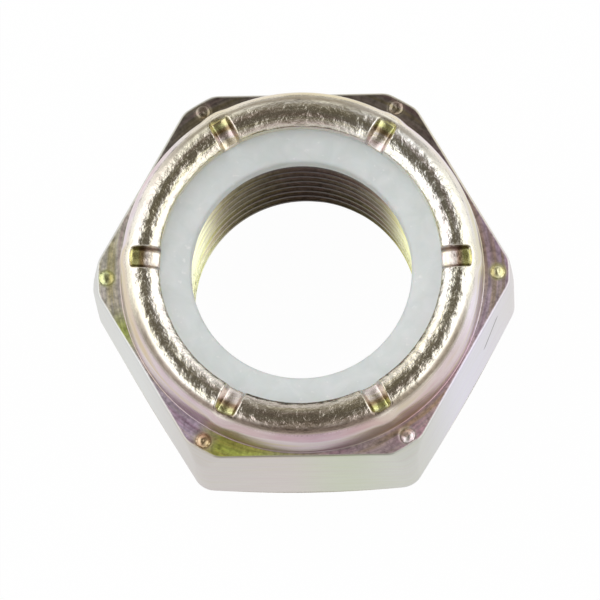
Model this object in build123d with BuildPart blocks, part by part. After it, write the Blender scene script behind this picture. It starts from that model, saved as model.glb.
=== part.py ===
from build123d import *
import os
from math import cos, radians, sin, tan

# Nylon insert lock nut, 3/4-16 thread, 1-1/8 in across the flats. All sizes are in millimetres.
# The axis is Z, the bearing face lies on z = 0 and the crimped collar points up.
# One corner of the hexagon points along +X, so that a flat faces -Y.

INCH = 25.4
SIDES = 6

# Hexagon, cold forged, with the bearing end turned to a cone
across_flats = 1.125 * INCH
hex_height = 13.8
corner_radius = 1.6          # the upright edges, fully formed low down
corner_easing = 0.5          # what the steep cone takes off each corner at the top
easing_height = 3.0
shoulder_edge_chamfer = 0.2  # the edge between the flats and the shoulder
bearing_angle = 35.0         # the cone round the bearing face, measured from that face
bearing_inset = 0.35         # from the flats in to the edge of the bearing face

# Thread
thread_size = 0.75 * INCH
threads_per_inch = 16
minor_drop = 0.541266        # thread depth from the major to the minor radius, in pitches
countersink_reach = 0.9      # mouth of the countersink, past the major radius
lead_depth = 0.35            # small chamfer where the thread meets the insert

# Collar, a turned wall that is rolled in over the insert
ledge_width = 0.45           # from the flats in to the foot of the collar wall
root_chamfer = 0.25          # at the foot of the wall
wall_thickness = 1.9
wall_height = 2.4            # straight part, above the shoulder
wall_lean = 0.08             # how far the straight part leans in
bend_inset = 0.55            # the bend above it, in to the edge of the rolled band
bend_rise = 1.2
band_width = 2.4             # the rolled band, from its outer edge in to the lip
band_crown = 0.62            # how high the band stands above its two edges
lip_thickness = 0.95
under_lip_drop = 0.45        # the lip's underside falls this much towards the wall

# Notches pressed across the rolled band, one near each corner, not quite evenly spaced
notch_angles = (1.7, 58.0, 119.9, 176.6, 242.6, 298.1)
notch_width = 1.3            # at the floor
notch_draft = 14.0           # degrees that each side leans out
notch_middle_depth = 0.85    # below the crown of the band
notch_lip_depth = 0.72       # below the edge of the lip
notch_rim_depth = 0.15       # below the outer edge of the band

# Pips stamped on the shoulder, one near each corner
pip_angles = (0.0, 60.5, 120.0, 180.0, 239.2, 301.9)
pip_reach = 0.7              # from the flats out to the circle of pips
pip_radius = 0.45
pip_height = 0.14

# Nylon insert
floor_rise = 0.43            # seat of the insert, above the shoulder
insert_bite = 0.22           # how far the nylon reaches in past the minor radius
insert_bore_drop = 0.85      # from the lip down to the inner edge of the insert
insert_edge_chamfer = 0.25

# Worked out from the sizes above
pitch = INCH / threads_per_inch
flat_radius = across_flats / 2
corner_reach = flat_radius / cos(radians(180 / SIDES))
formed_reach = corner_reach - corner_radius * (1 / cos(radians(180 / SIDES)) - 1)
major_radius = thread_size / 2
minor_radius = major_radius - minor_drop * pitch
bearing_radius = flat_radius - bearing_inset
countersink_radius = major_radius + countersink_reach

wall_foot_radius = flat_radius - ledge_width
wall_top_radius = wall_foot_radius - wall_lean
wall_top = hex_height + wall_height
band_radius = wall_top_radius - bend_inset
band_edge = wall_top + bend_rise
crown_radius = band_radius - band_width / 2
crown_top = band_edge + band_crown
lip_radius = band_radius - band_width
lip_bottom = band_edge - lip_thickness

seat = hex_height + floor_rise
pocket_radius = wall_foot_radius - wall_thickness
pocket_top = lip_bottom - under_lip_drop
insert_bore_radius = minor_radius - insert_bite
insert_bore_top = lip_bottom - insert_bore_drop

clear = 1.0                  # how far a cutting shape runs past what it cuts
blank_skin = 0.2             # how far the turned blank stands clear of the formed corners


# The punch that presses one notch, along +X: its floor follows the band, its sides have draft
punch_reach = clear + band_width
punch_height = band_crown + notch_middle_depth + clear
punch_foot = band_edge - notch_lip_depth - clear
with BuildPart() as notch_punch:
    with BuildSketch(Plane.XZ):
        with BuildLine():
            floor_inner = (lip_radius, band_edge - notch_lip_depth)
            floor_middle = (crown_radius, crown_top - notch_middle_depth)
            floor_outer = (band_radius, band_edge - notch_rim_depth)
            run_in = Line((lip_radius - clear, floor_inner[1] - clear / 2), floor_inner)
            floor = ThreePointArc(floor_inner, floor_middle, floor_outer)
            run_out = Line(floor_outer, (band_radius + clear, floor_outer[1]))
            Polyline(
                run_out @ 1,
                (band_radius + clear, crown_top + clear),
                (lip_radius - clear, crown_top + clear),
                run_in @ 0,
            )
        make_face()
    extrude(amount=flat_radius, both=True)
    with BuildSketch(Plane.YZ):
        floor_half = notch_width / 2
        top_half = floor_half + (crown_top + clear - floor_middle[1]) * tan(radians(notch_draft))
        foot_half = floor_half - (floor_middle[1] - punch_foot) * tan(radians(notch_draft))
        Polygon(
            (-foot_half, punch_foot),
            (foot_half, punch_foot),
            (top_half, crown_top + clear),
            (-top_half, crown_top + clear),
            align=None,
        )
    extrude(amount=flat_radius + clear, mode=Mode.INTERSECT)


with BuildPart() as nut_body:
    # Forged hexagon
    with BuildSketch():
        RegularPolygon(flat_radius, SIDES, major_radius=False)
        fillet(vertices(), corner_radius)
    extrude(amount=hex_height)

    # A turned bearing face inside a cone below, and corners eased by a steep cone above
    with BuildSketch(Plane.XZ):
        blank_radius = formed_reach + blank_skin
        cone_rise = (blank_radius - bearing_radius) * tan(radians(bearing_angle))
        eased_radius = formed_reach - corner_easing
        easing_foot = hex_height - easing_height * (blank_radius - eased_radius) / corner_easing
        with BuildLine():
            Polyline(
                (0, 0),
                (bearing_radius, 0),
                (blank_radius, cone_rise),
                (blank_radius, easing_foot),
                (eased_radius, hex_height),
                (0, hex_height),
                close=True,
            )
        make_face()
    revolve(axis=Axis.Z, mode=Mode.INTERSECT)
    shoulder = faces().sort_by(Axis.Z)[-1]
    chamfer(shoulder.edges(), shoulder_edge_chamfer)

    # Collar: foot, wall, bend and rolled band, as one turned profile
    with BuildSketch(Plane.XZ):
        with BuildLine():
            base = Polyline((0, seat), (0, hex_height / 2), (wall_foot_radius + root_chamfer, hex_height / 2))
            step = Line(base @ 1, (wall_foot_radius + root_chamfer, hex_height))
            foot = Line(step @ 1, (wall_foot_radius, hex_height + root_chamfer))
            wall = Line(foot @ 1, (wall_top_radius, wall_top))
            bend = TangentArc(wall @ 1, (band_radius, band_edge), tangent=wall % 1)
            band = ThreePointArc(bend @ 1, (crown_radius, crown_top), (lip_radius, band_edge))
            Polyline(band @ 1, (lip_radius, seat), (0, seat))
        make_face()
    revolve(axis=Axis.Z)

    # Pocket for the insert, closed over by the lip
    with BuildSketch(Plane.XZ):
        with BuildLine():
            floor_line = Line((0, seat), (pocket_radius, seat))
            pocket_wall = Line(floor_line @ 1, (pocket_radius, pocket_top))
            under_lip = Line(pocket_wall @ 1, (lip_radius, lip_bottom))
            Polyline(under_lip @ 1, (lip_radius, crown_top + clear), (0, crown_top + clear), (0, seat))
        make_face()
    revolve(axis=Axis.Z, mode=Mode.SUBTRACT)

    # Thread bore at its minor diameter, countersunk at the bearing face
    with BuildSketch(Plane.XZ):
        with BuildLine():
            Polyline(
                (0, 0),
                (countersink_radius, 0),
                (minor_radius, countersink_radius - minor_radius),
                (minor_radius, seat - lead_depth),
                (minor_radius + lead_depth, seat),
                (0, seat),
                close=True,
            )
        make_face()
    revolve(axis=Axis.Z, mode=Mode.SUBTRACT)

    # Six notches hold the insert from turning
    for angle in notch_angles:
        with Locations(Rotation(0, 0, angle)):
            add(notch_punch.part, mode=Mode.SUBTRACT)

    # Six pips stand on the shoulder
    pip_align = (Align.CENTER, Align.CENTER, Align.MIN)
    pip_circle = flat_radius + pip_reach
    for angle in pip_angles:
        pip_x = pip_circle * cos(radians(angle))
        pip_y = pip_circle * sin(radians(angle))
        with Locations((pip_x, pip_y, hex_height)):
            Cylinder(pip_radius, pip_height, align=pip_align)
nut_body.part.label = "nut_body"


with BuildPart() as nylon_insert:
    with BuildSketch(Plane.XZ):
        with BuildLine():
            seat_line = Line((insert_bore_radius, seat), (pocket_radius, seat))
            outer_wall = Line(seat_line @ 1, (pocket_radius, pocket_top))
            gripped = Line(outer_wall @ 1, (lip_radius, lip_bottom))
            exposed = Line(gripped @ 1, (insert_bore_radius, insert_bore_top))
            Line(exposed @ 1, seat_line @ 0)
        make_face()
        bore_corners = vertices().sort_by(Axis.X)[:2]
        chamfer(bore_corners.sort_by(Axis.Y)[-1], insert_edge_chamfer)
    revolve(axis=Axis.Z)
nylon_insert.part.label = "nylon_insert"


os.makedirs("parts", exist_ok=True)
export_step(nut_body.part, "parts/nut_body.step")
export_step(nylon_insert.part, "parts/nylon_insert.step")
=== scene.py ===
from math import asin, atan2, cos, pi, radians, sin, sqrt, tan

import bmesh
import bpy
from mathutils import Matrix, Vector, noise


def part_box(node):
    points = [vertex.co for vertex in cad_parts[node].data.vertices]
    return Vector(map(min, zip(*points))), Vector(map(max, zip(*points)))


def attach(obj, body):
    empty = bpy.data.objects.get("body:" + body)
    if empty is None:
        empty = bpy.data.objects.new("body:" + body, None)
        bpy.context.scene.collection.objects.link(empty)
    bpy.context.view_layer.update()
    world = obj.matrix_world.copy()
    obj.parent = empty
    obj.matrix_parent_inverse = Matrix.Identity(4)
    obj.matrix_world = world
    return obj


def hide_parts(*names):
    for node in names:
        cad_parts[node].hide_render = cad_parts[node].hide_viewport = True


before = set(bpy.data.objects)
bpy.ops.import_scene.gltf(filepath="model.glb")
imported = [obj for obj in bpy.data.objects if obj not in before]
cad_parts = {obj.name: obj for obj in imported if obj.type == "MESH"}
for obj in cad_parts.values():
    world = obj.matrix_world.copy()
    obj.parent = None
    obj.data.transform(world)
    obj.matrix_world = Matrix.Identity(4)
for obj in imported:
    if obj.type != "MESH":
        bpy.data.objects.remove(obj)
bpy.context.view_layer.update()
collection = bpy.context.scene.collection
MM = 0.001

# ---------------------------------------- sizes, in millimetres
SIDES = 6
nut_low, nut_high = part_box("nut_body")
insert_low, insert_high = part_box("nylon_insert")
flat_radius = (nut_high.y - nut_low.y) / 2 / MM
nut_height = (nut_high.z - nut_low.z) / MM
seat = insert_low.z / MM            # seat of the insert, in the collar
pocket_radius = (insert_high.x - insert_low.x) / 2 / MM
lip_bottom = insert_high.z / MM     # where the lip ends on the insert

floor_rise = 0.43                   # the seat stands this much above the shoulder
hex_height = seat - floor_rise
corner_radius = 1.6                 # the upright edges of the hexagon
corner_easing = 0.5                 # taken off each corner where it meets the shoulder
first_easing = 0.28                 # the same for the corner on +X, which is less worn
first_corner = (0.9, 0.98)          # cosines between which that corner takes over
easing_height = 3.0
easing_blend = 0.09                 # softens the edge where the easing starts
shoulder_edge = 0.2                 # radius between the flats and the shoulder
flat_waves = 0.025                  # how far a forged flat swells and sinks
bearing_inset = 0.35                # from the flats in to the edge of the bearing face
bearing_radius = flat_radius - bearing_inset
bearing_slope = tan(radians(35))    # the cone round the bearing face

ledge_width = 0.38                  # from the flats in to the foot of the collar's wall
foot_radius = flat_radius - ledge_width
foot_fillet = 0.1
wall_lean = 0.15                    # the wall leans in this far, over its straight part
wall_height = 2.4
wall_top = hex_height + wall_height
bend_inset = 0.55                   # the bend, in to the band and up to it
bend_rise = 1.2
knee = (0.04, 0.78)                 # in and up from the wall to the bend's guiding point
wall_bulge = 0.12                   # how far the wall swells outside a notch
bulge_reach = (0.2, 1.25)           # from full swelling to none, across the notch
band_outer = foot_radius - wall_lean - bend_inset  # the rolled band, its two edges and its crown
band_width = 2.4                    # from its outer edge in to the lip
band_edge = wall_top + bend_rise
band_crown = nut_height - band_edge
band_middle = band_outer - band_width / 2
band_bend = ((band_width / 2) ** 2 + band_crown**2) / (2 * band_crown)  # radius of its arc
coarse_peen, fine_peen = 0.05, 0.022  # height of the hammered relief, broad and fine
lip_radius = band_outer - band_width
lip_rounding = 0.06
under_lip_drop = 0.45               # the lip's underside falls this much to the wall

# Notches: place in degrees, and the slope of the floor from one side to the other
NOTCHES = ((1.7, 0.0), (58.0, 0.16), (118.8, -0.16), (176.6, 0.05), (242.6, 0.18), (298.1, -0.18))
notch_dish = 0.09                   # how far the floor curves up at its sides
notch_run_out = 0.45                # the floor comes up this far short of the band's edge,
notch_stop = 0.18                   # and has ended this far short of it
notch_half = 0.5                    # half the width of a notch's floor
notch_side = 0.42                   # how far each side leans out
notch_depth_middle = 0.85
notch_depth_lip = 0.72
notch_depth_rim = 0.28

# Pips: place in degrees, share of the full height, share of the ring, the side where the ring is
# deepest in degrees, and the colour painted on it, a painted highlight where the pip glints
PIPS = (
    (0.0, 1.0, 0.9, 20, "f6f6bc"),
    (60.5, 0.5, 0.7, 200, "b8ae9c"),
    (120.0, 0.45, 0.7, 60, "b2a898"),
    (180.0, 0.85, 0.25, 90, "e8f0a8"),
    (239.2, 1.1, 0.5, 330, "dcc09c"),
    (301.9, 0.9, 0.9, 150, "f6f2ee"),
)
pip_reach = 0.7                     # from the flats out to the circle of pips
pip_circle = flat_radius + pip_reach
pip_radius = 0.5
pip_rise = 0.28
pip_recess_radius = 0.78
pip_recess = 0.1                    # depth of the round recess
pip_recess_edge = 0.16              # width of its sloping edge
pip_smooth_edge = (0.02, 0.06)      # the smooth metal fades from inside the dome to outside

INCH = 25.4
thread_size = 0.75                  # in inches
threads_per_inch = 16
minor_drop = 0.541266               # from the major to the minor radius, in pitches
crest_half = 0.125                  # half the width of a crest, in pitches
countersink_reach = 0.9             # mouth of the countersink, past the major radius
pitch = INCH / threads_per_inch
major_radius = thread_size / 2 * INCH
minor_radius = major_radius - minor_drop * pitch
thread_depth = major_radius - minor_radius
countersink_radius = major_radius + countersink_reach
flank_slope = tan(radians(30))
lead = 0.35                         # chamfer where the thread meets the insert

insert_bite = 0.22                  # how far the nylon reaches in past the minor radius
insert_bore_drop = 0.85             # from the lip down to the insert's inner edge
insert_crown = 0.06                 # swelling of the insert's face
insert_bore = minor_radius - insert_bite
insert_bore_top = lip_bottom - insert_bore_drop
insert_foot = 0.5                   # a row this much above the seat
# The insert's rounded inner edge: (out from the bore, up from its top)
insert_edge = ((0.0, -0.32), (0.03, -0.18), (0.1, -0.07), (0.22, 0.02))

weld = 0.002                        # points closer than this become one


# ---------------------------------------- small helpers
def smoothstep(low, high, value):
    t = min(max((value - low) / (high - low), 0.0), 1.0)
    return t * t * (3 - 2 * t)


def mix(a, b, share):
    return a + (b - a) * share


def mix_colours(a, b, share):
    """Mixes two colours, channel by channel."""
    return tuple(mix(low, high, share) for low, high in zip(a, b))


def wander(angle, height, size, seed):
    """Smooth noise that closes on itself round the axis; size is in turns of the pattern."""
    return noise.noise(Vector((cos(angle) * size + seed, sin(angle) * size, height)))


def link(name, mesh):
    piece = bpy.data.objects.new(name, mesh)
    collection.objects.link(piece)
    return piece


# ---------------------------------------- chromate film and painted light, round the nut
def linear(hex_colour):
    """An sRGB colour such as "c8b890" as linear RGBA."""
    channels = [int(hex_colour[i:i + 2], 16) / 255 for i in (0, 2, 4)]
    return tuple(c / 12.92 if c <= 0.04045 else ((c + 0.055) / 1.055) ** 2.4 for c in channels) + (1.0,)


# The film's thickness varies, so its hue drifts; the levels round the nut are painted light as well:
# painted highlights and glints left and right on the bore, shoulders, wall and band, and painted
# shade on the far shoulders, the near wall, the bore's far and near sides and the band's front and back:
# (degrees round the nut, colour there)
FILM_AND_PAINTED_LIGHT = {
    "bore": ((90, "8a7670"), (130, "b0a88c"), (165, "fbfed6"), (195, "fdfedc"),
             (270, "9c8c78"), (345, "fdfed8"), (12, "fafecc"), (50, "a8a08c")),
    "cone": ((0, "cfc6b2"), (180, "d2ccc0")),
    "flat": ((30, "d8d2c2"), (150, "d2d2ca"), (205, "d6d8d6"), (243, "c8c2bd"), (262, "c9c1bc"),
             (282, "c2c7b2"), (300, "c9cac2"), (330, "dedce8")),
    "shoulder": ((352, "e8d8e6"), (8, "d6bfd4"), (52, "80756c"), (68, "7e756c"), (112, "7a7168"),
                 (128, "827a72"), (168, "f4f2e6"), (188, "f6f2ec"), (197, "d6e48c"), (208, "ece4ec"),
                 (234, "dccce0"), (241, "cfcf94"), (244, "d0da70"), (254, "d8e47c"), (264, "d2d6a0"),
                 (280, "d8c6cc"), (292, "d2c0c4"), (303, "e2c8d2"), (312, "e8d0d6")),
    "wall": ((8, "f2f0fa"), (50, "f8f0ee"), (95, "f4eadc"), (140, "eee6e4"), (180, "ece2e8"),
             (205, "e2d4d8"), (230, "d6c8cc"), (250, "d2c6c2"), (275, "c9bcc0"), (300, "d6cabc"),
             (325, "dccccc"), (345, "f0e8f0")),
    "band": ((0, "fffcf4"), (45, "fffdf8"), (90, "efe8da"), (135, "f4eedc"), (180, "fffaf2"),
             (225, "fffaf0"), (270, "ebe2d4"), (315, "faf3e4")),
}
# How dull and spotted each zone is
MOTTLING = {"bore": 0.8, "cone": 0.2, "flat": 0.0, "shoulder": 1.0, "wall": 0.05, "band": 0.12}

# The colour on a notch's floor, from its outer end in, a painted highlight first: (where the next colour
# starts, where it is reached, both as shares of the band's width, and the colour), and the painted shade on
# its sides
NOTCH_END_HIGHLIGHT = "f2f4b4"
NOTCH_FLOOR_COLOURS = ((0.3, 0.42, "b09a7c"), (0.46, 0.62, "fff6f0"))
NOTCH_SIDE_SHADE = "5c4034"
# Painted shade at the band's outer edge, a brown dark reflection painted along it: colour, strength, and in
# mm how far in it lies, its dark core, its full width and how much that varies
CREASE_REFLECTION_COLOUR, CREASE_REFLECTION_STRENGTH = "64503c", 0.8
crease_inset, crease_core, crease_width, crease_drift = 0.16, 0.08, 0.34, 0.2
PIP_GLINT_STRENGTH = 0.8      # how much of a pip's painted colour shows, a painted highlight where it glints
# How nearly bright the metal is: the band 1, and these
BORE_BURNISH, BEND_BURNISH, LIP_BURNISH, PIP_BURNISH = 0.35, 0.6, 0.7, 0.5
NOTCH_DULLING = 0.45         # what a notch's floor loses of the band's
PIP_CLEARING = 0.9           # what a pip loses of the shoulder's dull spots


def tint(zone, angle):
    """Linear colour of the film and its painted light at this angle, eased from each named place to the
    next.
    """
    places = sorted(FILM_AND_PAINTED_LIGHT[zone])
    here = angle * 180 / pi % 360
    for i, (start, colour) in enumerate(places):
        end, next_colour = places[(i + 1) % len(places)]
        span = (end - start) % 360 or 360
        gone = (here - start) % 360
        if gone < span:
            return mix_colours(linear(colour), linear(next_colour), smoothstep(0, 1, gone / span))
    return linear(places[0][1])      # rounding can leave a point between two spans


# ---------------------------------------- nut body: columns and rows
FINE_HALF = 8.0      # degrees each side of a corner that carry a notch and a pip
FINE_STEPS = 60
COARSE_STEPS = 40


def column_angles():
    """Angles of the columns round the nut, close together at the six corners."""
    angles = []
    sector = 360 / SIDES
    for corner in range(SIDES):
        start = corner * sector - FINE_HALF
        for i in range(FINE_STEPS):
            angles.append(start + 2 * FINE_HALF * i / FINE_STEPS)
        for i in range(COARSE_STEPS):
            angles.append(start + 2 * FINE_HALF + (sector - 2 * FINE_HALF) * i / COARSE_STEPS)
    return [radians(a) for a in angles]


COLUMNS = column_angles()


def from_corner(angle):
    """Angle to the nearest corner of the hexagon, with its sign."""
    sector = 2 * pi / SIDES
    return (angle + sector / 2) % sector - sector / 2


def nearest(angle, rows):
    """Signed angle from the nearest row, whose place in degrees is its first value, and the row."""
    turns = [((angle - radians(row[0]) + pi) % (2 * pi) - pi, row) for row in rows]
    return min(turns, key=lambda pair: abs(pair[0]))


def formed_radius(angle):
    """Radius of the hexagon with rounded upright edges."""
    a = abs(from_corner(angle))
    centre = (flat_radius - corner_radius) / cos(pi / SIDES)
    tangent = atan2(corner_radius * sin(pi / SIDES), centre + corner_radius * cos(pi / SIDES))
    if a < tangent:
        return centre * cos(a) + sqrt(corner_radius**2 - (centre * sin(a)) ** 2)
    return flat_radius / cos(pi / SIDES - a)


corner_reach = formed_radius(0.0)


def hexagon_radius(angle, z):
    """The same radius at a height: a steep cone eases the corners near the shoulder."""
    easing = mix(corner_easing, first_easing, smoothstep(*first_corner, cos(angle)))
    eased = corner_reach - easing * (1 - (hex_height - z) / easing_height)
    gap = formed_radius(angle) - eased
    softening = easing_blend * max(1 - abs(gap) / (2 * easing_blend), 0) ** 2 / 2
    return formed_radius(angle) - max(gap, 0) - softening


def nearest_pip(radius, angle):
    """The pip nearest to this point, with the distance to it and the bearing from its middle."""
    turn, pip = nearest(angle, PIPS)
    out, along = radius * cos(turn) - pip_circle, radius * sin(turn)
    return pip, sqrt(out**2 + along**2), atan2(along, out) + radians(pip[0])


def pip_height(radius, angle):
    """Height of the stamped pip and its round recess above the shoulder."""
    (place, rise, ring, deepest, colour), reach, bearing = nearest_pip(radius, angle)
    depth = pip_recess * ring * (0.5 + 0.5 * cos(bearing - radians(deepest)))
    recess = -depth * (1 - smoothstep(pip_recess_radius - pip_recess_edge, pip_recess_radius, reach))
    if reach > pip_radius:
        return recess
    return recess + pip_rise * rise * sqrt(max(1 - (reach / pip_radius) ** 2, 0))


def pip_share(radius, angle):
    """1 on a pip and the ring about it, where the stamp left the metal smooth."""
    inside, outside = pip_smooth_edge
    reach = nearest_pip(radius, angle)[1]
    return 1 - smoothstep(pip_radius - inside, pip_recess_radius + outside, reach)


def notch_end(radius):
    """Falls from 1 to 0 where the floor comes up at the outer end."""
    return 1 - smoothstep(band_outer - notch_run_out, band_outer - notch_stop, radius)


def notch_share(radius, angle):
    """1 on the floor of a notch, 0 outside it."""
    across = abs(radius * sin(nearest(angle, NOTCHES)[0]))
    return notch_end(radius) * (1 - smoothstep(notch_half, notch_half + notch_side, across))


def notch_colour_and_painted_light(radius, angle, pressed):
    """Colour in a notch: a painted highlight at the floor's outer end, brown and pale along the floor, and
    painted shade on its sides.
    """
    inward = (band_outer - radius) / band_width
    # The floor starts with a painted highlight at its outer end
    floor = linear(NOTCH_END_HIGHLIGHT)
    for start, reached, colour in NOTCH_FLOOR_COLOURS:
        floor = mix_colours(floor, linear(colour), smoothstep(start, reached, inward))
    end = notch_end(radius)
    # Painted shade on the notch's side walls, strongest left and right
    side = end * min(4 * pressed / end * (1 - pressed / end), 1.0)
    painted_side_shade = 0.3 + 0.6 * cos(angle) ** 2      # strongest left and right
    return mix_colours(mix_colours(tint("band", angle), floor, pressed), linear(NOTCH_SIDE_SHADE), painted_side_shade * side)


def painted_crease_share(radius, angle):
    """1 on the painted dark reflection along the band's outer edge, which fades out left and right."""
    width = crease_width + crease_drift * wander(angle, 0.0, 5.0, 4.4)
    near = 1 - smoothstep(crease_core, width, abs(radius - band_outer + crease_inset))
    below = smoothstep(0.05, 0.45, -sin(angle))
    above = 0.8 * smoothstep(0.45, 0.8, sin(angle))
    return near * max(below, above)


def shell_colour_and_painted_light(zone, radius, z, angle, pressed, stamped):
    """Colour on the outer shell: its zone's film and painted light, and over that the notch's colour and
    painted shade, the painted dark reflection at the band's edge and the pip's painted glint.
    """
    film_and_painted_light = notch_colour_and_painted_light(radius, angle, pressed) if pressed else tint(zone, angle)
    # Painted shade: a dark reflection painted along the band's outer edge
    if zone == "band" or z > wall_top:
        crease_reflection = CREASE_REFLECTION_STRENGTH * painted_crease_share(radius, angle) * (1 - pressed)
        film_and_painted_light = mix_colours(film_and_painted_light, linear(CREASE_REFLECTION_COLOUR), crease_reflection)
    # Painted glint on each pip, or a duller colour where it does not glint
    if stamped:
        pip_glint = linear(nearest_pip(radius, angle)[0][4])
        film_and_painted_light = mix_colours(film_and_painted_light, pip_glint, PIP_GLINT_STRENGTH * stamped)
    return film_and_painted_light


def band_height(radius):
    """Height of the rolled band at this radius, an arc over its two edges."""
    return nut_height - band_bend + sqrt(band_bend**2 - (radius - band_middle) ** 2)


def notch_floor(radius, angle):
    """The floor follows the band, deeper towards the lip, a little dished and not quite level."""
    t = (band_outer - radius) / band_width
    depth = (
        notch_depth_rim * (1 - t) * (1 - 2 * t)
        + notch_depth_middle * 4 * t * (1 - t)
        + notch_depth_lip * t * (2 * t - 1)
    )
    turn, (place, slope) = nearest(angle, NOTCHES)
    across = min(max(radius * sin(turn), -notch_half), notch_half)
    return band_height(radius) - depth + notch_dish * (across / notch_half) ** 2 + slope * across


def shoulder_rim(angle):
    """Radius of the flats right under the shoulder's rounded edge."""
    z = hex_height - shoulder_edge
    return hexagon_radius(angle, z) - flat_wear(angle, z)


def flat_wear(angle, z):
    """Forged flats aren't quite flat: up to a few hundredths of a millimetre."""
    return flat_waves * (1 + wander(angle, z * 0.12, 2.2, 3.1))


def shell_rows():
    """Rows of the outer shell from the countersink's mouth round to the seat of the insert.

    Each row is (function of the angle giving radius and height, zone, burnished share)."""
    countersink_row, bearing_row = 0.25, 0.15    # rows this far in from the bearing face's edges
    bearing_edge, cone_edge = 0.02, 0.04         # how much its edge and the cone's are broken
    rows = []
    zone = "cone"

    def add(point, burnish=0.0):
        rows.append((point, zone, burnish))

    # Bearing face and the cone round it
    for r in (countersink_radius + countersink_row, bearing_radius - bearing_row):
        add(lambda a, r=r: (r, 0.0))
    add(lambda a: (bearing_radius, bearing_edge))
    for t in (0.12, 0.5, 0.88, 0.97):
        add(lambda a, t=t: (
            mix(bearing_radius, formed_radius(a), t),
            (formed_radius(a) - bearing_radius) * t * bearing_slope,
        ))

    # Flats
    def cone_top(a):
        return (formed_radius(a) - bearing_radius) * bearing_slope

    zone = "flat"
    for t in (0.0, 0.01, 0.04, 0.14, 0.28, 0.42, 0.56, 0.7, 0.8, 0.88, 0.95, 1.0):
        def flat(a, t=t):
            z = mix(cone_top(a), hex_height - shoulder_edge, t)
            edge = cone_edge if t == 0.0 else 0.0
            return hexagon_radius(a, z) - edge - flat_wear(a, z), z + edge / 2

        add(flat)

    # Rounded edge of the shoulder, the shoulder itself and its pips
    for t in (0.25, 0.5, 0.75):
        add(lambda a, t=t: (
            shoulder_rim(a) - shoulder_edge * (1 - cos(t * pi / 2)),
            hex_height - shoulder_edge * (1 - sin(t * pi / 2)),
        ))
    zone = "shoulder"
    shoulder_rows = 25
    for i in range(shoulder_rows):
        t = i / (shoulder_rows - 1)

        def shoulder(a, t=t):
            r = mix(shoulder_rim(a) - shoulder_edge, foot_radius + foot_fillet, t)
            return r, hex_height + pip_height(r, a)

        add(shoulder)

    # Foot fillet, wall and bend
    zone = "wall"
    for t in (0.25, 0.5, 0.75, 1.0):
        add(lambda a, t=t: (
            foot_radius + foot_fillet * (1 - sin(t * pi / 2)),
            hex_height + foot_fillet * (1 - cos(t * pi / 2)),
        ))
    wall_rows = 8
    for i in range(1, wall_rows + 1):
        t = i / wall_rows
        add(lambda a, t=t: (
            foot_radius - wall_lean * t + bulge(a, t),
            mix(hex_height + foot_fillet, wall_top, t),
        ))
    bend_rows = 7
    for i in range(1, bend_rows):
        t = i / bend_rows
        add(lambda a, t=t: bend_point(a, t), smoothstep(0.55, 1.0, t) * BEND_BURNISH)

    # Rolled band with its notches
    zone = "band"
    band_rows = 24
    for i in range(band_rows + 1):
        t = i / band_rows

        def band(a, t=t):
            swing = asin(band_width / 2 / band_bend)
            r = band_middle + band_bend * sin(mix(swing, -swing, t))
            z = band_height(r)
            broad = coarse_peen * wander(a, t * 1.2, 7.0, 7.7)
            peen = (broad + fine_peen * wander(a, t * 3.0, 24.0, 2.3) - coarse_peen) * sin(t * pi)
            r_out = r + bulge(a, 1.0) * (1 - t)
            return r_out, mix(z + peen, min(z, notch_floor(r, a)), notch_share(r, a))

        add(band, 1.0)

    # Lip: its rounded edge, inner face and underside, then the pocket, hidden by the insert
    def lip_top(a):
        return mix(band_edge, notch_floor(lip_radius, a), notch_share(lip_radius, a))

    for t in (0.15, 0.4, 0.7, 1.0):
        add(lambda a, t=t: (
            lip_radius - lip_rounding * sin(t * pi),
            mix(lip_top(a), lip_bottom, t),
        ), LIP_BURNISH)
    add(lambda a: (pocket_radius, lip_bottom - under_lip_drop))
    add(lambda a: (pocket_radius, seat))
    return rows


def bulge(angle, height_share):
    """The wall swells a little outside each notch."""
    across = abs(band_outer * sin(nearest(angle, NOTCHES)[0]))
    return wall_bulge * height_share**2 * (1 - smoothstep(*bulge_reach, across))


def bend_point(angle, t):
    """The bend, a quarter-like curve from the top of the wall to the band's outer edge."""
    top = (foot_radius - wall_lean + bulge(angle, 1.0), wall_top)
    guide = (top[0] - knee[0], wall_top + knee[1])
    edge = (band_outer + bulge(angle, 1.0), band_edge)
    s = 1 - t
    return tuple(s * s * top[i] + 2 * s * t * guide[i] + t * t * edge[i] for i in range(2))


# ---------------------------------------- geometry nodes
def add_node(tree, kind, inputs=(), **settings):
    """Adds a node: settings are its properties, and inputs maps each socket to a value, an output,
    or a node, which stands for its first output."""
    node = tree.nodes.new(kind)
    for name, value in settings.items():
        setattr(node, name, value)
    for key, value in dict(inputs).items():
        if isinstance(value, bpy.types.Node):
            value = value.outputs[0]
        if isinstance(value, bpy.types.NodeSocket):
            tree.links.new(value, node.inputs[key])
        else:
            node.inputs[key].default_value = value
    return node


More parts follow.
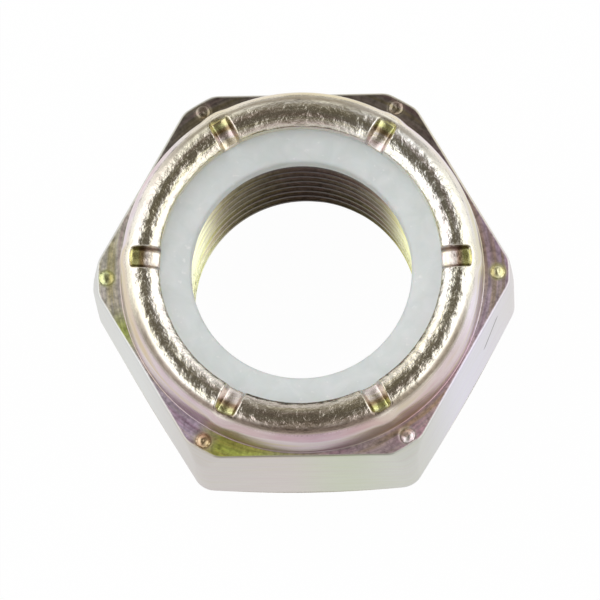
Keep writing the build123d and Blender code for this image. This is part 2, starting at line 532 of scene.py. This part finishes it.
def thread_tree(material):
    """Geometry Nodes for the wall of a tapped hole: a sheet is rolled up along the helix.

    Rows follow the helix, and are cut off flat at both ends by clamping their height."""
    tree = bpy.data.node_groups.new("Tapped thread", "GeometryNodeTree")
    face = tree.interface
    face.new_socket("Geometry", in_out="OUTPUT", socket_type="NodeSocketGeometry")
    for name in ("Pitch", "Minor radius", "Depth", "Height", "Countersink", "Lead"):
        face.new_socket(name, in_out="INPUT", socket_type="NodeSocketFloat")
    for name in ("Columns", "Rows per turn"):
        face.new_socket(name, in_out="INPUT", socket_type="NodeSocketInt")
    given = tree.nodes.new("NodeGroupInput").outputs
    height, step, minor = given["Height"], given["Pitch"], given["Minor radius"]

    # A sheet one turn wide, and long enough for the height with a turn to spare
    exact = add_node(tree, "ShaderNodeMath", {0: height, 1: step}, operation="DIVIDE")
    full = add_node(tree, "ShaderNodeMath", {0: exact}, operation="CEIL")
    turns = add_node(tree, "ShaderNodeMath", {0: full, 1: 1.0}, operation="ADD")
    rows = add_node(tree, "ShaderNodeMath", {0: turns, 1: given["Rows per turn"]}, operation="MULTIPLY")
    points_round = add_node(tree, "ShaderNodeMath", {0: given["Columns"], 1: 1.0}, operation="ADD")
    points_up = add_node(tree, "ShaderNodeMath", {0: rows, 1: 1.0}, operation="ADD")
    grid = add_node(tree, "GeometryNodeMeshGrid", {
        "Size X": 1.0, "Size Y": 1.0, "Vertices X": points_round, "Vertices Y": points_up,
    })

    # Height of a point: up the sheet, and one pitch more for each turn round, cut off at both ends
    place = add_node(tree, "ShaderNodeSeparateXYZ", {0: tree.nodes.new("GeometryNodeInputPosition")})
    turn = add_node(tree, "ShaderNodeMath", {0: place.outputs["X"], 1: 0.5}, operation="ADD")
    along = add_node(tree, "ShaderNodeMath", {0: place.outputs["Y"], 1: 0.5}, operation="ADD")
    rise = add_node(tree, "ShaderNodeMath", {0: turn, 1: step}, operation="MULTIPLY")
    turns_up = add_node(tree, "ShaderNodeMath", {0: along, 1: turns}, operation="MULTIPLY")
    climb = add_node(tree, "ShaderNodeMath", {0: turns_up, 1: step}, operation="MULTIPLY")
    risen = add_node(tree, "ShaderNodeMath", {0: climb, 1: rise}, operation="ADD")
    lowered = add_node(tree, "ShaderNodeMath", {0: risen, 1: step}, operation="SUBTRACT")
    above_bottom = add_node(tree, "ShaderNodeMath", {0: lowered, 1: 0.0}, operation="MAXIMUM")
    z = add_node(tree, "ShaderNodeMath", {0: above_bottom, 1: height}, operation="MINIMUM")

    # Depth of the groove: none on the crest, then down the flank to the root
    half_pitch = add_node(tree, "ShaderNodeMath", {0: step, 1: 0.5}, operation="MULTIPLY")
    before = add_node(tree, "ShaderNodeMath", {0: half_pitch, 1: -1.0}, operation="MULTIPLY")
    behind = add_node(tree, "ShaderNodeMath", {0: z, 1: rise}, operation="SUBTRACT")
    phase = add_node(tree, "ShaderNodeMath", {0: behind, 1: half_pitch, 2: before}, operation="WRAP")
    from_middle = add_node(tree, "ShaderNodeMath", {0: phase}, operation="ABSOLUTE")
    crest = add_node(tree, "ShaderNodeMath", {0: step, 1: crest_half}, operation="MULTIPLY")
    past_crest = add_node(tree, "ShaderNodeMath", {0: from_middle, 1: crest}, operation="SUBTRACT")
    flank = add_node(tree, "ShaderNodeMath", {0: past_crest, 1: flank_slope}, operation="DIVIDE")
    cut = add_node(tree, "ShaderNodeMath", {0: flank, 1: 0.0}, operation="MAXIMUM")
    groove = add_node(tree, "ShaderNodeMath", {0: cut, 1: given["Depth"]}, operation="MINIMUM")

    # Radius: the thread, opened by the countersink below and the lead chamfer above
    wall = add_node(tree, "ShaderNodeMath", {0: minor, 1: groove}, operation="ADD")
    mouth = add_node(tree, "ShaderNodeMath", {0: given["Countersink"], 1: z}, operation="SUBTRACT")
    lead_end = add_node(tree, "ShaderNodeMath", {0: minor, 1: given["Lead"]}, operation="ADD")
    from_top = add_node(tree, "ShaderNodeMath", {0: z, 1: height}, operation="SUBTRACT")
    chamfer = add_node(tree, "ShaderNodeMath", {0: lead_end, 1: from_top}, operation="ADD")
    opened = add_node(tree, "ShaderNodeMath", {0: wall, 1: mouth}, operation="MAXIMUM")
    radius = add_node(tree, "ShaderNodeMath", {0: opened, 1: chamfer}, operation="MAXIMUM")

    # The sheet rolled up
    angle = add_node(tree, "ShaderNodeMath", {0: turn, 1: 2 * pi}, operation="MULTIPLY")
    cosine = add_node(tree, "ShaderNodeMath", {0: angle}, operation="COSINE")
    sine = add_node(tree, "ShaderNodeMath", {0: angle}, operation="SINE")
    x = add_node(tree, "ShaderNodeMath", {0: radius, 1: cosine}, operation="MULTIPLY")
    y = add_node(tree, "ShaderNodeMath", {0: radius, 1: sine}, operation="MULTIPLY")
    point = add_node(tree, "ShaderNodeCombineXYZ", {"X": x, "Y": y, "Z": z})
    rolled = add_node(tree, "GeometryNodeSetPosition", {"Geometry": grid, "Position": point})
    merged = add_node(tree, "GeometryNodeMergeByDistance", {"Geometry": rolled, "Distance": weld * MM})
    whole = add_node(tree, "GeometryNodeRealizeInstances", {"Geometry": merged})
    finished = add_node(tree, "GeometryNodeSetMaterial", {"Geometry": whole, "Material": material})
    add_node(tree, "NodeGroupOutput", {0: finished})
    return tree


def mesh_from_tree(tree, values):
    """Runs a tree on an empty object with these inputs and returns the resulting plain mesh."""
    carrier = link("carrier", bpy.data.meshes.new("carrier"))
    modifier = carrier.modifiers.new("Nodes", "NODES")
    modifier.node_group = tree
    for item in tree.interface.items_tree:
        if item.item_type == "SOCKET" and item.name in values:
            modifier[item.identifier] = values[item.name]
    graph = bpy.context.evaluated_depsgraph_get()
    mesh = bpy.data.meshes.new_from_object(carrier.evaluated_get(graph), depsgraph=graph)
    bpy.data.objects.remove(carrier)
    return mesh


# ---------------------------------------- nut body: one closed mesh
THREAD_COLUMNS, THREAD_ROWS = 192, 16        # points round a turn, and rows in a pitch
crest_fade = 0.15                            # mm down into the groove where a crest's painted shade ends
crest_painted_shade = 0.6                          # painted shade: how much darker the crests are painted on the far side


def finish_piece(name, work, material, sharp):
    """Turns a bmesh into a smooth-shaded piece whose edges are sharp from this angle on."""
    for face in work.faces:
        face.smooth = True
        face.material_index = 0
    mesh = bpy.data.meshes.new(name)
    work.to_mesh(mesh)
    work.free()
    mesh.materials.append(material)
    mesh.set_sharp_from_angle(angle=sharp)
    return link(name, mesh)


def join_rings(work, low, high):
    """Quads between two rings with the same number of points."""
    for i in range(len(low)):
        j = (i + 1) % len(low)
        work.faces.new((low[i], low[j], high[j], high[i]))


def zip_rings(work, ring_a, ring_b):
    """Triangles between two rings of vertices with different numbers of points."""
    def turn_of(vert):
        return atan2(vert.co.y, vert.co.x) % (2 * pi)

    a = sorted(ring_a, key=turn_of)
    b = sorted(ring_b, key=turn_of)
    i = j = 0
    while i < len(a) or j < len(b):
        next_a = turn_of(a[i + 1]) if i + 1 < len(a) else 2 * pi + (i + 1 - len(a))
        next_b = turn_of(b[j + 1]) if j + 1 < len(b) else 2 * pi + (j + 1 - len(b))
        here_a, here_b = a[i % len(a)], b[j % len(b)]
        if j >= len(b) or (i < len(a) and next_a <= next_b):
            i += 1
            work.faces.new((here_a, a[i % len(a)], here_b))
        else:
            j += 1
            work.faces.new((here_a, b[j % len(b)], here_b))


def add_shell(work, layers):
    """Adds the outer shell's vertices and faces, and returns its rings."""
    rings = []
    for point, zone, share in shell_rows():
        ring = []
        for angle in COLUMNS:
            r, z = point(angle)
            vert = work.verts.new((r * cos(angle) * MM, r * sin(angle) * MM, z * MM))
            pressed = notch_share(r, angle) if zone == "band" else 0.0
            stamped = pip_share(r, angle) if zone == "shoulder" else 0.0
            vert[layers["burnish"]] = share * (1 - NOTCH_DULLING * pressed) + PIP_BURNISH * stamped
            vert[layers["upright"]] = 1.0 if zone == "flat" else 0.0
            vert[layers["mottled"]] = MOTTLING[zone] * (1 - PIP_CLEARING * stamped)
            # The film's colour with painted light: painted shade and a painted highlight in the notches, a
            # painted dark reflection at the band's edge and painted glints on the pips
            vert[layers["chromate_and_painted_light"]] = shell_colour_and_painted_light(zone, r, z, angle, pressed, stamped)
            ring.append(vert)
        rings.append(ring)
    for low, high in zip(rings, rings[1:]):
        join_rings(work, low, high)
    return rings


def nut_body_piece(steel):
    thread = mesh_from_tree(thread_tree(steel), {
        "Pitch": pitch * MM,
        "Minor radius": minor_radius * MM,
        "Depth": thread_depth * MM,
        "Height": seat * MM,
        "Countersink": countersink_radius * MM,
        "Lead": lead * MM,
        "Columns": THREAD_COLUMNS,
        "Rows per turn": THREAD_ROWS,
    })
    work = bmesh.new()
    work.from_mesh(thread)
    bmesh.ops.remove_doubles(work, verts=work.verts, dist=weld * MM)
    layers = {name: work.verts.layers.float.new(name) for name in ("burnish", "upright", "mottled")}
    # Colour per point: the film's hue with painted highlights, glints and shade
    layers["chromate_and_painted_light"] = work.verts.layers.float_color.new("chromate_and_painted_light")
    edge_verts = {v for e in work.edges if e.is_boundary for v in e.verts}
    low_ring = {v for v in edge_verts if v.co.z < seat * MM / 2}

    for vert in work.verts:
        turn = atan2(vert.co.y, vert.co.x)
        # Painted light in the bore: the film's levels paint glints left and right and shade front and back,
        # and the crests get painted shade on the far side
        crest = 1 - smoothstep(0.0, crest_fade, vert.co.xy.length / MM - minor_radius)
        level = 1 - crest_painted_shade * crest * smoothstep(0.55, 1.0, sin(turn))
        vert[layers["chromate_and_painted_light"]] = tuple(c * level for c in tint("bore", turn)[:3]) + (1.0,)
        vert[layers["mottled"]] = MOTTLING["bore"] * smoothstep(0.4, 1.0, abs(sin(turn)))
        vert[layers["burnish"]] = BORE_BURNISH * cos(turn) ** 2
    rings = add_shell(work, layers)
    zip_rings(work, low_ring, rings[0])
    zip_rings(work, edge_verts - low_ring, rings[-1])
    bmesh.ops.recalc_face_normals(work, faces=work.faces)
    bpy.data.meshes.remove(thread)
    piece = finish_piece("lock_nut_body", work, steel, sharp=radians(38))
    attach(piece, "root")
    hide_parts("nut_body")
    return piece


# ---------------------------------------- nylon ring
NYLON_COLUMNS, NYLON_FACE_ROWS = 288, 14


def nylon_piece(nylon):
    profile = [(insert_bore, seat), (insert_bore, seat + insert_foot)]
    profile += [(insert_bore + out, insert_bore_top + up) for out, up in insert_edge]
    face_start = profile[-1]
    for i in range(1, NYLON_FACE_ROWS + 1):
        t = i / NYLON_FACE_ROWS
        swell = insert_crown * 4 * t * (1 - t)
        profile.append((mix(face_start[0], lip_radius, t), mix(face_start[1], lip_bottom, t) + swell))
    profile += [(pocket_radius, lip_bottom - under_lip_drop), (pocket_radius, seat)]

    work = bmesh.new()
    rings = []
    for r, z in profile:
        ring = []
        for i in range(NYLON_COLUMNS):
            a = 2 * pi * i / NYLON_COLUMNS
            ring.append(work.verts.new((r * cos(a) * MM, r * sin(a) * MM, z * MM)))
        rings.append(ring)
    for low, high in zip(rings, rings[1:] + rings[:1]):
        join_rings(work, low, high)
    bmesh.ops.recalc_face_normals(work, faces=work.faces)
    piece = finish_piece("nylon_ring", work, nylon, sharp=radians(50))
    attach(piece, "root")
    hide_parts("nylon_insert")
    return piece


# ---------------------------------------- materials
def new_material(name):
    material = bpy.data.materials.new(name)
    material.use_nodes = True
    material.node_tree.nodes.clear()
    return material


def set_stops(ramp_node, stops):
    """Gives a colour ramp these stops, each (position, RGBA)."""
    elements = ramp_node.color_ramp.elements
    elements.remove(elements[1])
    for i, (position, colour) in enumerate(stops):
        stop = elements[0] if i == 0 else elements.new(position)
        stop.position, stop.color = position, colour


# Cold forged steel, turned on the collar, barrel plated with zinc and dipped in yellow chromate.
# To the eye: a pale satin metal with turning lines, a film that drifts from straw to green and
# mauve, a shoulder left matt and spotted by the forging, a nearly bright, hammered band where the
# collar was rolled in, with a painted dark reflection along its outer edge, and a deep thread,
# painted dark front and back with painted glints left and right.
TURNING_LINE = 0.22      # mm from one turning line to the next, coarser than real so that it shows
LINE_DRIFT = 0.45        # how fast the lines change along their length, per mm
PEEL_SIZE = 0.75         # mm across a dimple of the rolled band
MOTTLE_SIZE = 0.42       # mm across a dull spot of the forged shoulder
DRIFT_LENGTH = 9.0       # mm along a streak of the film, which drains along the turning lines
DRIFT_WIDTH = 0.5        # mm across it
DRIFT_STOPS = ((0.34, "f4dbe4"), (0.5, "ffffff"), (0.66, "f4eec4"))
GRAIN_SIZE = 0.11        # mm across a grain of the zinc
SPOT_FILM, SCRATCH_FILM = "4a4234", "48423c"
BURNISH_CLEARING = 0.6   # how much of the drift a burnished place loses
SPOT_DULLING = 0.28      # how much of its metallic shine a dull place loses
GRAIN_ROUGHNESS, SPOT_ROUGHNESS = 0.1, 0.36
DIMPLE_DEPTH, SPOT_DEPTH, LINE_DEPTH = 0.14, 0.05, 0.012              # relief, in mm
SCRATCH_ALONG = (0.5, 0.866, 0.0)                  # along the scratched flat, and out of it
SCRATCH_OUT = (0.866, -0.5, 0.0)
SCRATCH_START, SCRATCH_END = (4.98, 10.1, 0.0), (3.04, 7.1, 0.0)      # mm along the flat, and up
SCRATCH_CORE, SCRATCH_EDGE = 0.19, 0.26            # mm from its middle line
SCRATCH_RAGGED = 0.12    # mm that the grain moves its edge
SCRATCH_SKIN = 0.3       # mm below the flat where it ends


def zinc_plated_steel():
    material = new_material("Yellow chromated zinc on steel")
    tree = material.node_tree
    place = add_node(tree, "ShaderNodeTexCoord").outputs["Object"]
    mm = add_node(tree, "ShaderNodeVectorMath", {"Vector": place, "Scale": 1 / MM}, operation="SCALE")
    axes = add_node(tree, "ShaderNodeSeparateXYZ", {0: mm}).outputs
    # The mesh's colour carries the film's hue and the light painted into it: highlights, glints and shade
    film_and_painted_light = add_node(tree, "ShaderNodeAttribute", attribute_name="chromate_and_painted_light").outputs["Color"]
    burnish, upright, mottled = (
        add_node(tree, "ShaderNodeAttribute", attribute_name=name).outputs["Fac"]
        for name in ("burnish", "upright", "mottled")
    )

    # Turning lines run round the axis, and level along the flats
    level = add_node(tree, "ShaderNodeCombineXYZ", {"X": axes["X"], "Y": axes["Y"]})
    radius = add_node(tree, "ShaderNodeVectorMath", {0: level}, operation="LENGTH").outputs["Value"]
    turned = add_node(tree, "ShaderNodeMath", {0: 1.0, 1: upright}, operation="SUBTRACT")
    climb = add_node(tree, "ShaderNodeMath", {0: radius, 1: turned, 2: axes["Z"]}, operation="MULTIPLY_ADD")
    patterns = []
    for rate, rate_up in ((LINE_DRIFT, 1 / TURNING_LINE), (1 / DRIFT_LENGTH, 1 / DRIFT_WIDTH)):
        x = add_node(tree, "ShaderNodeMath", {0: axes["X"], 1: rate}, operation="MULTIPLY")
        y = add_node(tree, "ShaderNodeMath", {0: axes["Y"], 1: rate}, operation="MULTIPLY")
        up = add_node(tree, "ShaderNodeMath", {0: climb, 1: rate_up}, operation="MULTIPLY")
        lay = add_node(tree, "ShaderNodeCombineXYZ", {"X": x, "Y": y, "Z": up})
        patterns.append(add_node(tree, "ShaderNodeTexNoise", {"Vector": lay, "Scale": 1.0, "Detail": 3.0}))
    streak, drift = patterns
    peel = add_node(tree, "ShaderNodeTexNoise", {
        "Vector": mm, "Scale": 1 / PEEL_SIZE, "Detail": 4.0, "Roughness": 0.55,
    })
    spots = add_node(tree, "ShaderNodeTexNoise", {
        "Vector": mm, "Scale": 1 / MOTTLE_SIZE, "Detail": 4.0, "Roughness": 0.65,
    })
    grain = add_node(tree, "ShaderNodeTexNoise", {"Vector": mm, "Scale": 1 / GRAIN_SIZE, "Detail": 2.0})

    # Colour: the film with its painted light from the mesh, the film's drift, then lines, then dull spots
    drift_tint = add_node(tree, "ShaderNodeValToRGB", {0: drift})
    set_stops(drift_tint, [(at, linear(colour)) for at, colour in DRIFT_STOPS])
    drift_most = add_node(tree, "ShaderNodeMapRange", {
        "Value": turned, "From Min": 0.0, "From Max": 1.0, "To Min": 0.2, "To Max": 0.9,
    })
    cleared = add_node(tree, "ShaderNodeMath", {0: burnish, 1: -BURNISH_CLEARING, 2: 1.0},
                       operation="MULTIPLY_ADD")
    drift_share = add_node(tree, "ShaderNodeMath", {0: drift_most, 1: cleared}, operation="MULTIPLY")
    tinted = add_node(tree, "ShaderNodeMix", {0: drift_share, 6: film_and_painted_light, 7: drift_tint},
                      data_type="RGBA", blend_type="MULTIPLY").outputs[2]
    line_depth = add_node(tree, "ShaderNodeMapRange", {
        "Value": mottled, "From Min": 0.0, "From Max": 1.0, "To Min": 0.94, "To Max": 0.6,
    })
    line_level = add_node(tree, "ShaderNodeMapRange", {
        "Value": streak, "From Min": 0.3, "From Max": 0.7, "To Min": line_depth, "To Max": 1.0,
    })
    lined = add_node(tree, "ShaderNodeVectorMath", {"Vector": tinted, "Scale": line_level},
                     operation="SCALE")
    spot_share = add_node(tree, "ShaderNodeMapRange", {
        "Value": spots, "From Min": 0.42, "From Max": 0.7, "To Min": 0.0, "To Max": 0.5,
    })
    dull = add_node(tree, "ShaderNodeMath", {0: spot_share, 1: mottled}, operation="MULTIPLY")
    spotted = add_node(tree, "ShaderNodeMix", {0: dull, 6: lined, 7: linear(SPOT_FILM)},
                       data_type="RGBA", blend_type="MULTIPLY").outputs[2]

    # One scratch across the flat right of the front one, drawn by the distance from its middle line
    along, outward = (
        add_node(tree, "ShaderNodeVectorMath", {0: mm, 1: way}, operation="DOT_PRODUCT").outputs["Value"]
        for way in (SCRATCH_ALONG, SCRATCH_OUT)
    )
    on_flat = add_node(tree, "ShaderNodeMath", {0: outward, 1: flat_radius - SCRATCH_SKIN},
                       operation="GREATER_THAN")
    spot = add_node(tree, "ShaderNodeCombineXYZ", {"X": along, "Y": axes["Z"]})
    from_start = add_node(tree, "ShaderNodeVectorMath", {0: spot, 1: SCRATCH_START}, operation="SUBTRACT")
    run = Vector(SCRATCH_END) - Vector(SCRATCH_START)
    gone = add_node(tree, "ShaderNodeVectorMath", {0: from_start, 1: run / run.length_squared},
                    operation="DOT_PRODUCT").outputs["Value"]
    held = add_node(tree, "ShaderNodeMath", {0: gone, 1: 0.0}, operation="ADD", use_clamp=True)
    foot = add_node(tree, "ShaderNodeVectorMath", {0: tuple(run), "Scale": held}, operation="SCALE")
    apart = add_node(tree, "ShaderNodeVectorMath", {0: from_start, 1: foot},
                     operation="DISTANCE").outputs["Value"]
    wobble = add_node(tree, "ShaderNodeMath", {0: grain, 1: SCRATCH_RAGGED, 2: apart},
                      operation="MULTIPLY_ADD")
    cut = add_node(tree, "ShaderNodeMapRange", {
        "Value": wobble, "From Min": SCRATCH_CORE, "From Max": SCRATCH_EDGE, "To Min": 0.85, "To Max": 0.0,
    })
    scratch = add_node(tree, "ShaderNodeMath", {0: cut, 1: on_flat}, operation="MULTIPLY")
    scratched = add_node(tree, "ShaderNodeMix", {0: scratch, 6: spotted, 7: linear(SCRATCH_FILM)},
                         data_type="RGBA").outputs[2]

    # Roughness: satin, nearly bright on the rolled band and matt where it is mottled
    satin = add_node(tree, "ShaderNodeMapRange", {
        "Value": burnish, "From Min": 0.0, "From Max": 1.0, "To Min": 0.3, "To Max": 0.1,
    })
    grained = add_node(tree, "ShaderNodeMath", {0: grain, 1: GRAIN_ROUGHNESS, 2: satin},
                       operation="MULTIPLY_ADD")
    rough = add_node(tree, "ShaderNodeMath", {0: mottled, 1: SPOT_ROUGHNESS, 2: grained},
                     operation="MULTIPLY_ADD")

    # Relief: hammered dimples on the band, forging spots, and fine turning lines over both
    dimples = add_node(tree, "ShaderNodeMath", {0: peel, 1: burnish}, operation="MULTIPLY")
    hammered = add_node(tree, "ShaderNodeBump", {
        "Height": dimples, "Strength": 1.0, "Distance": DIMPLE_DEPTH * MM,
    })
    forged_height = add_node(tree, "ShaderNodeMath", {0: spots, 1: mottled}, operation="MULTIPLY")
    forged = add_node(tree, "ShaderNodeBump", {
        "Height": forged_height, "Strength": 1.0, "Distance": SPOT_DEPTH * MM, "Normal": hammered,
    })
    line_height = add_node(tree, "ShaderNodeMath", {0: streak, 1: turned}, operation="MULTIPLY")
    lined_bump = add_node(tree, "ShaderNodeBump", {
        "Height": line_height, "Strength": 1.0, "Distance": LINE_DEPTH * MM, "Normal": forged,
    })
    shine = add_node(tree, "ShaderNodeMath", {0: mottled, 1: -SPOT_DULLING, 2: 1.0},
                     operation="MULTIPLY_ADD")
    shader = add_node(tree, "ShaderNodeBsdfPrincipled", {
        "Base Color": scratched, "Metallic": shine, "Roughness": rough, "Normal": lined_bump,
    })
    add_node(tree, "ShaderNodeOutputMaterial", {"Surface": shader})
    return material


# Nylon 6.6, moulded and left its natural colour. To the eye: milky, slightly cool grey-white, a
# soft sheen, and faint flow streaks and scuffs round the ring.
FLOW_SIZE = 1.6          # mm across a flow streak
SCUFF_SIZE = 0.5         # mm across a light scuff
SCUFF_DEPTH = 0.02       # mm
NYLON_STOPS, SCUFF_COLOUR = ((0.3, "d2d8d8"), (0.7, "dde1e2")), "eceeee"
NYLON_DEPTH = 0.6        # mm that light travels in it


def natural_nylon():
    material = new_material("Natural nylon, moulded")
    tree = material.node_tree
    place = add_node(tree, "ShaderNodeTexCoord").outputs["Object"]
    mm = add_node(tree, "ShaderNodeVectorMath", {"Vector": place, "Scale": 1 / MM}, operation="SCALE")
    flow = add_node(tree, "ShaderNodeTexNoise", {
        "Vector": mm, "Scale": 1 / FLOW_SIZE, "Detail": 4.0, "Distortion": 0.8,
    })
    colour = add_node(tree, "ShaderNodeValToRGB", {0: flow})
    set_stops(colour, [(at, linear(shade)) for at, shade in NYLON_STOPS])
    scuff = add_node(tree, "ShaderNodeTexNoise", {"Vector": mm, "Scale": 1 / SCUFF_SIZE, "Detail": 5.0})
    scuff_share = add_node(tree, "ShaderNodeMapRange", {
        "Value": scuff, "From Min": 0.64, "From Max": 0.74, "To Min": 0.0, "To Max": 0.7,
    })
    scuffed = add_node(tree, "ShaderNodeMix", {0: scuff_share, 6: colour, 7: linear(SCUFF_COLOUR)},
                       data_type="RGBA").outputs[2]
    rough = add_node(tree, "ShaderNodeMapRange", {
        "Value": scuff, "From Min": 0.3, "From Max": 0.7, "To Min": 0.42, "To Max": 0.55,
    })
    relief = add_node(tree, "ShaderNodeBump", {
        "Height": scuff, "Strength": 0.6, "Distance": SCUFF_DEPTH * MM,
    })
    shader = add_node(tree, "ShaderNodeBsdfPrincipled", {
        "Base Color": scuffed, "Roughness": rough, "IOR": 1.53, "Normal": relief,
        "Subsurface Weight": 0.15, "Subsurface Scale": NYLON_DEPTH * MM,
    })
    add_node(tree, "ShaderNodeOutputMaterial", {"Surface": shader})
    return material


# ---------------------------------------- stage, light and camera
# Level of the studio from the horizon (0) to straight overhead (1): softboxes stand left and
# right, and the ceiling above the nut is dark and a little warm
SIDE_STOPS = ((0.0, 1.0), (0.35, 1.55), (0.7, 1.7), (0.82, 1.1), (0.9, 0.14), (1.0, 0.07))
FRONT_STOPS = ((0.0, 0.84), (0.25, 0.72), (0.5, 0.38), (0.75, 0.22), (0.92, 0.09), (1.0, 0.06))
FLOOR_HALF, FLOOR_DROP = 400, 0.02           # mm
CARD, CARD_GLOW = 0.9, 0.98                  # its own grey, and how much of it glows when seen
LAMP_SIZE, LAMP_WATTS, LAMP_AT = 500, 1.0, (-170, 280, 520)           # size and place in mm


def sky_colour(level):
    """A grey of this level, warmer the darker it is."""
    warmth = smoothstep(0.5, 0.05, level)
    return (level, level * (1 - 0.16 * warmth), level * (1 - 0.45 * warmth), 1)


def floor_and_light():
    half, low = FLOOR_HALF * MM, -FLOOR_DROP * MM
    corners = [(-half, -half, low), (half, -half, low), (half, half, low), (-half, half, low)]
    mesh = bpy.data.meshes.new("floor")
    mesh.from_pydata(corners, [], [(0, 1, 2, 3)])
    floor = link("floor", mesh)
    paint = new_material("White card")
    tree = paint.node_tree
    card = add_node(tree, "ShaderNodeBsdfDiffuse", {"Color": (CARD, CARD, CARD, 1)})
    glow = add_node(tree, "ShaderNodeEmission", {"Color": (1, 1, 1, 1), "Strength": 1.0})
    path = add_node(tree, "ShaderNodeLightPath")
    either = add_node(tree, "ShaderNodeMath", {
        0: path.outputs["Is Camera Ray"], 1: path.outputs["Is Glossy Ray"],
    }, operation="MAXIMUM")
    seen = add_node(tree, "ShaderNodeMath", {0: either, 1: CARD_GLOW}, operation="MULTIPLY")
    blend = add_node(tree, "ShaderNodeMixShader", {0: seen, 1: card, 2: glow})
    # The card has one side, so that the underside of the nut can be seen through it from below
    behind = add_node(tree, "ShaderNodeNewGeometry").outputs["Backfacing"]
    clear = add_node(tree, "ShaderNodeBsdfTransparent")
    one_sided = add_node(tree, "ShaderNodeMixShader", {0: behind, 1: blend, 2: clear})
    add_node(tree, "ShaderNodeOutputMaterial", {"Surface": one_sided})
    mesh.materials.append(paint)

    lamp = bpy.data.lights.new("overhead softbox", "AREA")
    lamp.shape, lamp.size, lamp.energy = "DISK", LAMP_SIZE * MM, LAMP_WATTS
    softbox = link("overhead softbox", lamp)
    softbox.location = [c * MM for c in LAMP_AT]
    softbox.rotation_euler = Vector(softbox.location).to_track_quat("Z", "Y").to_euler()
    softbox.visible_glossy = False      # the metal sees the dark ceiling of the studio instead

    world = bpy.data.worlds.new("Studio")
    bpy.context.scene.world = world
    world.use_nodes = True
    tree = world.node_tree
    tree.nodes.clear()
    direction = add_node(tree, "ShaderNodeTexCoord").outputs["Generated"]
    way = add_node(tree, "ShaderNodeSeparateXYZ", {0: direction}).outputs
    sky_levels = []
    for stops in (SIDE_STOPS, FRONT_STOPS):
        ramp = add_node(tree, "ShaderNodeValToRGB", {0: way["Z"]})
        set_stops(ramp, [(at, sky_colour(level)) for at, level in stops])
        sky_levels.append(ramp)
    squared = add_node(tree, "ShaderNodeMath", {0: way["Z"], 1: way["Z"]}, operation="MULTIPLY")
    spread = add_node(tree, "ShaderNodeMath", {0: 1.001, 1: squared}, operation="SUBTRACT")
    reach = add_node(tree, "ShaderNodeMath", {0: spread, 1: 0.5}, operation="POWER")
    across = add_node(tree, "ShaderNodeMath", {0: way["X"]}, operation="ABSOLUTE")
    sideways = add_node(tree, "ShaderNodeMath", {0: across, 1: reach}, operation="DIVIDE")
    side_share = add_node(tree, "ShaderNodeMapRange", {
        "Value": sideways, "From Min": 0.35, "From Max": 0.85, "To Min": 0.0, "To Max": 1.0,
    }, interpolation_type="SMOOTHSTEP")
    sky = add_node(tree, "ShaderNodeMix", {0: side_share, 6: sky_levels[1], 7: sky_levels[0]},
                   data_type="RGBA").outputs[2]
    studio = add_node(tree, "ShaderNodeBackground", {"Color": sky, "Strength": 1.0})
    white = add_node(tree, "ShaderNodeBackground", {"Color": (1, 1, 1, 1), "Strength": 1.0})
    path = add_node(tree, "ShaderNodeLightPath")
    seen = add_node(tree, "ShaderNodeMixShader", {0: path.outputs["Is Camera Ray"], 1: studio, 2: white})
    add_node(tree, "ShaderNodeOutputWorld", {"Surface": seen})


AZIMUTH, ELEVATION, ROLL = radians(6.75), radians(76.9), radians(7.57)
CAMERA_DISTANCE = 633 * MM
PIXELS_PER_MM = 186.5 / 14.2875    # pixels to half the width across the flats
FRAME_PIXELS = 600
SHOULDER_AT = (302.0, 274.75)      # where the middle of the shoulder plane lands, in pixels
SENSOR = 36.0                      # mm
CLIP_NEAR, CLIP_FAR = 0.01, 10     # metres


def place_camera():
    aim = Vector((0, 0, hex_height * MM))
    back = Vector((sin(AZIMUTH) * cos(ELEVATION), -cos(AZIMUTH) * cos(ELEVATION), sin(ELEVATION)))
    right = Vector((cos(AZIMUTH), sin(AZIMUTH), 0))
    up = back.cross(right)
    right, up = right * cos(ROLL) - up * sin(ROLL), right * sin(ROLL) + up * cos(ROLL)
    place = aim + back * CAMERA_DISTANCE
    offset_x = (FRAME_PIXELS / 2 - SHOULDER_AT[0]) / PIXELS_PER_MM * MM
    offset_y = (SHOULDER_AT[1] - FRAME_PIXELS / 2) / PIXELS_PER_MM * MM
    back = (place - (aim + right * offset_x + up * offset_y)).normalized()
    right = up.cross(back).normalized()
    up = back.cross(right)
    data = bpy.data.cameras.new("camera")
    data.sensor_width = SENSOR
    data.lens = PIXELS_PER_MM / MM * CAMERA_DISTANCE / FRAME_PIXELS * SENSOR
    data.clip_start, data.clip_end = CLIP_NEAR, CLIP_FAR
    camera = link("camera", data)
    camera.matrix_world = Matrix((
        (right.x, up.x, back.x, place.x),
        (right.y, up.y, back.y, place.y),
        (right.z, up.z, back.z, place.z),
        (0, 0, 0, 1),
    ))
    bpy.context.scene.camera = camera


steel = zinc_plated_steel()
nylon = natural_nylon()
nut_body_piece(steel)
nylon_piece(nylon)
floor_and_light()
place_camera()
bpy.context.scene.view_settings.view_transform = "Standard"
